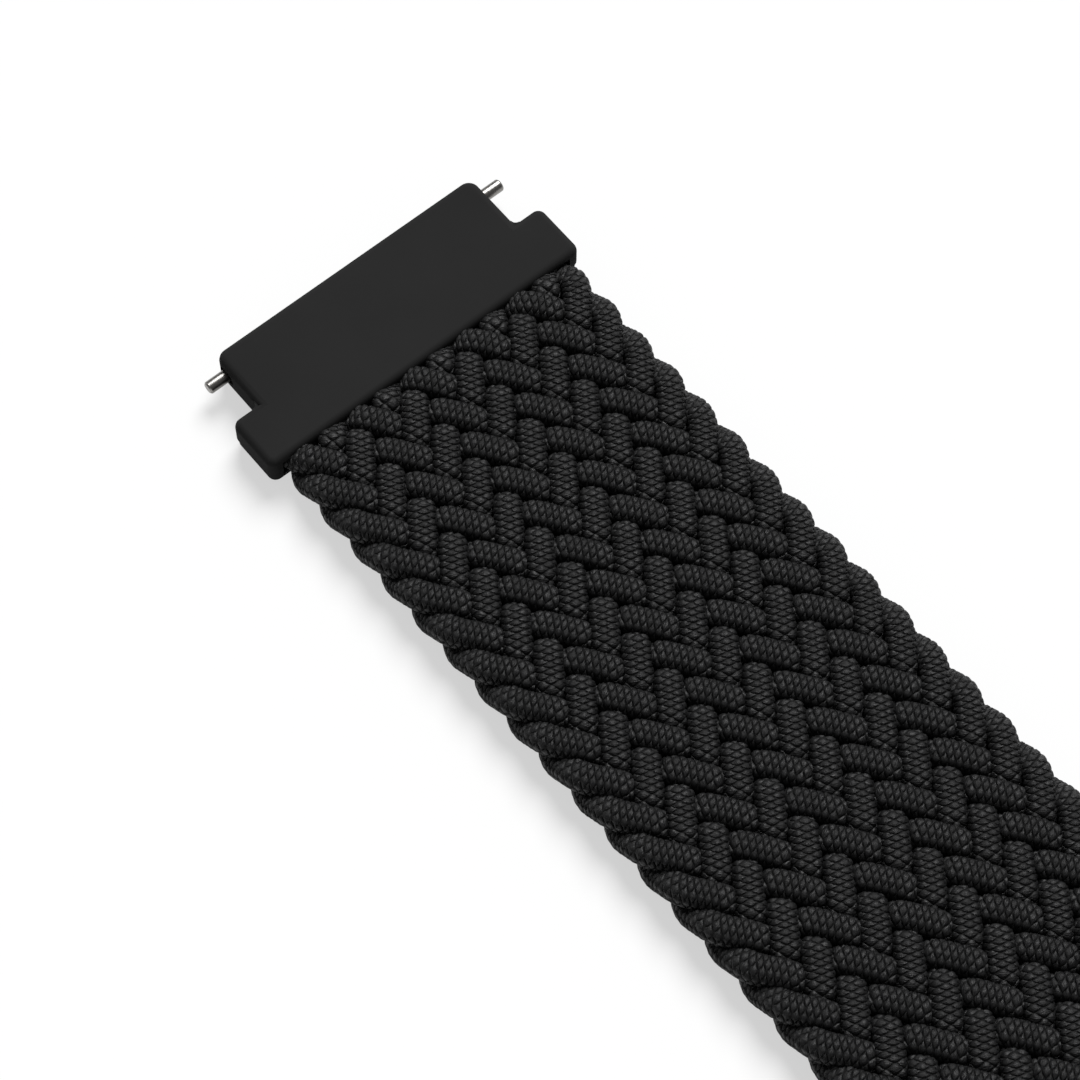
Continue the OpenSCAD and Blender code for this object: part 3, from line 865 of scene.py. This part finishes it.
class STRAP_OT_cord_ends(bpy.types.Operator):
    """Make the fused ends of the cords in the connectors' slots"""

    bl_idname = "strap.cord_ends"
    bl_label = "Fused cord ends"

    def execute(self, context):
        material = fused_polyester()
        for end in ENDS:
            dressed_copy("braid_end_" + end, "fused_cord_end_" + end, material, "strap")
        return {"FINISHED"}


class STRAP_OT_connectors(bpy.types.Operator):
    """Make the moulded shell and cover of both connectors"""

    bl_idname = "strap.connectors"
    bl_label = "Connectors"

    def execute(self, context):
        material = moulded_shell(context.scene.strap_connector)
        for end in ENDS:
            for node, name in (("upper_shell_", "connector_shell_"), ("lower_cover_", "connector_cover_")):
                dressed_copy(node + end, name + end, material, "strap")
        return {"FINISHED"}


class STRAP_OT_bars(bpy.types.Operator):
    """Make the tube, pins and lever of both quick-release bars"""

    bl_idname = "strap.bars"
    bl_label = "Quick-release bars"

    def execute(self, context):
        bar = context.scene.strap_bar
        pin = turned_steel("polished_stainless_steel", bar.steel, 0.3, 0.05 * MM)
        drawn = turned_steel("drawn_stainless_tube", bar.steel, 0.3, 0.08 * MM)
        for end in ENDS:
            dressed_copy("bar_tube_" + end, "spring_bar_tube_" + end, drawn, "strap")
            dressed_copy("fixed_tip_" + end, "fixed_pin_" + end, pin, "strap")
            dressed_copy("sliding_tip_" + end, "sliding_pin_" + end, pin, "pin_" + end)
            dressed_copy("release_lever_" + end, "release_stud_" + end, pin, "pin_" + end)
        return {"FINISHED"}


class STRAP_OT_springs(bpy.types.Operator):
    """Wind the return springs"""

    bl_idname = "strap.springs"
    bl_label = "Return springs"

    def execute(self, context):
        bar = context.scene.strap_bar
        material = turned_steel("drawn_spring_wire", bar.wire_steel, 0.28, 0.05 * MM)
        tree, names = spring_tree()
        for end, side in ENDS.items():
            low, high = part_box("return_spring_" + end)
            length = high.y - low.y
            values = {
                names["Wire"]: bar.wire,
                names["Radius"]: bar.spring_radius,
                names["Turns"]: float(bar.spring_turns),
                names["Length"]: length,
                names["Material"]: material,
            }
            name = "return_spring_wire_" + end
            spring = grown(name, bpy.data.meshes.new("empty"), tree, values)
            # From +Z to +Y, then onto the bar's axis, with the fixed end where the CAD has it
            co = np.zeros(len(spring.data.vertices) * 3)
            spring.data.vertices.foreach_get("co", co)
            x, y, z = co.reshape(-1, 3).T
            middle = (low + high) / 2
            fixed = low.y if side < 0 else high.y
            placed = np.column_stack([middle.x + side * -x, fixed - side * z, middle.z - y])
            spring.data.vertices.foreach_set("co", placed.ravel())
            spring.data.update()
            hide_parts("return_spring_" + end)
            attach(spring, "strap")
            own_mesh(spring)
        return {"FINISHED"}


class STRAP_OT_stage(bpy.types.Operator):
    """Set up the floor, the light and the camera"""

    bl_idname = "strap.stage"
    bl_label = "Stage"

    def execute(self, context):
        stage = context.scene.strap_stage
        context.scene.view_settings.view_transform = "Standard"

        mesh = bpy.data.meshes.new("floor")
        corners = [(x * FLOOR_REACH, y * FLOOR_REACH, 0) for x, y in ((-1, -1), (1, -1), (1, 1), (-1, 1))]
        mesh.from_pydata(corners, [], [(0, 1, 2, 3)])
        floor = bpy.data.objects.new("floor", mesh)
        context.scene.collection.objects.link(floor)
        mesh.materials.append(white_floor(stage))

        world = bpy.data.worlds.new("studio")
        context.scene.world = world
        world.use_nodes = True
        tree = world.node_tree
        tree.nodes.clear()
        sky = add_node(
            tree, "ShaderNodeBackground", inputs={"Color": (1, 1, 1, 1), "Strength": WORLD_LIGHT}
        )
        add_node(tree, "ShaderNodeOutputWorld", inputs={"Surface": sky})

        key = bpy.data.lights.new("key", "SUN")
        key.energy = KEY_LIGHT
        key.angle = math.radians(KEY_SPREAD)
        lamp = bpy.data.objects.new("key", key)
        lamp.rotation_mode = "QUATERNION"
        lamp.rotation_quaternion = Vector(KEY_FROM).to_track_quat("Z", "Y")
        lamp.location = Vector(KEY_FROM) * KEY_DISTANCE
        context.scene.collection.objects.link(lamp)

        data = bpy.data.cameras.new("photo_camera")
        data.sensor_width = SENSOR_WIDTH
        data.lens = stage.lens
        data.clip_start, data.clip_end = CLIP_START, CLIP_END
        camera = bpy.data.objects.new("photo_camera", data)
        around = math.radians(stage.azimuth)
        up = math.radians(stage.elevation)
        level = math.cos(up)
        back = Vector((math.sin(around) * level, -math.cos(around) * level, math.sin(up)))
        camera.rotation_mode = "QUATERNION"
        camera.location = Vector(CAMERA_TARGET) + back * stage.distance
        camera.rotation_quaternion = (-back).to_track_quat("-Z", "Y")
        context.scene.collection.objects.link(camera)
        context.scene.camera = camera
        return {"FINISHED"}


class STRAP_PT_panel(bpy.types.Panel):
    """Steps and settings of the strap"""

    bl_label = "Braided watch strap"
    bl_idname = "STRAP_PT_panel"
    bl_space_type = "VIEW_3D"
    bl_region_type = "UI"
    bl_category = "Strap"

    def draw(self, context):
        for name, group in SETTINGS.items():
            box = self.layout.box()
            for key in group.__annotations__:
                box.prop(getattr(context.scene, name), key)
        for operator in OPERATORS:
            self.layout.operator(operator.bl_idname)


SETTINGS = {
    "strap_braid": StrapBraidSettings,
    "strap_connector": StrapConnectorSettings,
    "strap_bar": StrapBarSettings,
    "strap_stage": StrapStageSettings,
}
OPERATORS = (
    STRAP_OT_stage,
    STRAP_OT_braid,
    STRAP_OT_cord_ends,
    STRAP_OT_connectors,
    STRAP_OT_bars,
    STRAP_OT_springs,
)


def register():
    """Adds the classes and their settings to Blender."""
    for group in SETTINGS.values():
        bpy.utils.register_class(group)
    for name, group in SETTINGS.items():
        setattr(bpy.types.Scene, name, bpy.props.PointerProperty(type=group))
    for operator in OPERATORS:
        bpy.utils.register_class(operator)
    bpy.utils.register_class(STRAP_PT_panel)


def unregister():
    """Takes them out again."""
    bpy.utils.unregister_class(STRAP_PT_panel)
    for operator in reversed(OPERATORS):
        bpy.utils.unregister_class(operator)
    for name, group in SETTINGS.items():
        delattr(bpy.types.Scene, name)
        bpy.utils.unregister_class(group)


def main():
    register()
    bpy.ops.strap.stage()
    bpy.ops.strap.braid()
    bpy.ops.strap.cord_ends()
    bpy.ops.strap.connectors()
    bpy.ops.strap.bars()
    bpy.ops.strap.springs()


if __name__ == "__main__":
    main()
